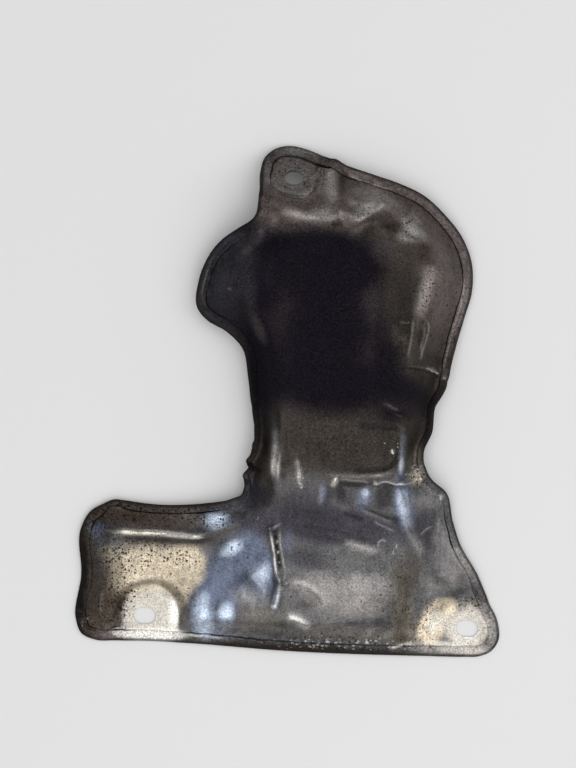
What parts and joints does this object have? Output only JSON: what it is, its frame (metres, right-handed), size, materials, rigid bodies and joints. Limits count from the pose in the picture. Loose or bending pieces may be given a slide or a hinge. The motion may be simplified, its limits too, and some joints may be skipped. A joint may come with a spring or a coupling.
{
  "type": "heat shield",
  "caption": "Pressed sheet steel heat shield with a hemmed edge: a domed top with a drilled lug, a neck, and a foot with slotted pads.",
  "frame": {"origin": "midway between the two lower slots, on the underside of their pads", "axes": "+X through both slots towards the heel, +Y up the shield towards the lug, +Z out of the pads on the bulged side"},
  "size_m": [0.228, 0.271, 0.0302],
  "materials": {
    "shield_steel": "bare pressed steel, sooted and heat tinted"
  },
  "bodies": {
    "root": {"heat_shield": "shield_steel"}
  },
  "joints": []
}
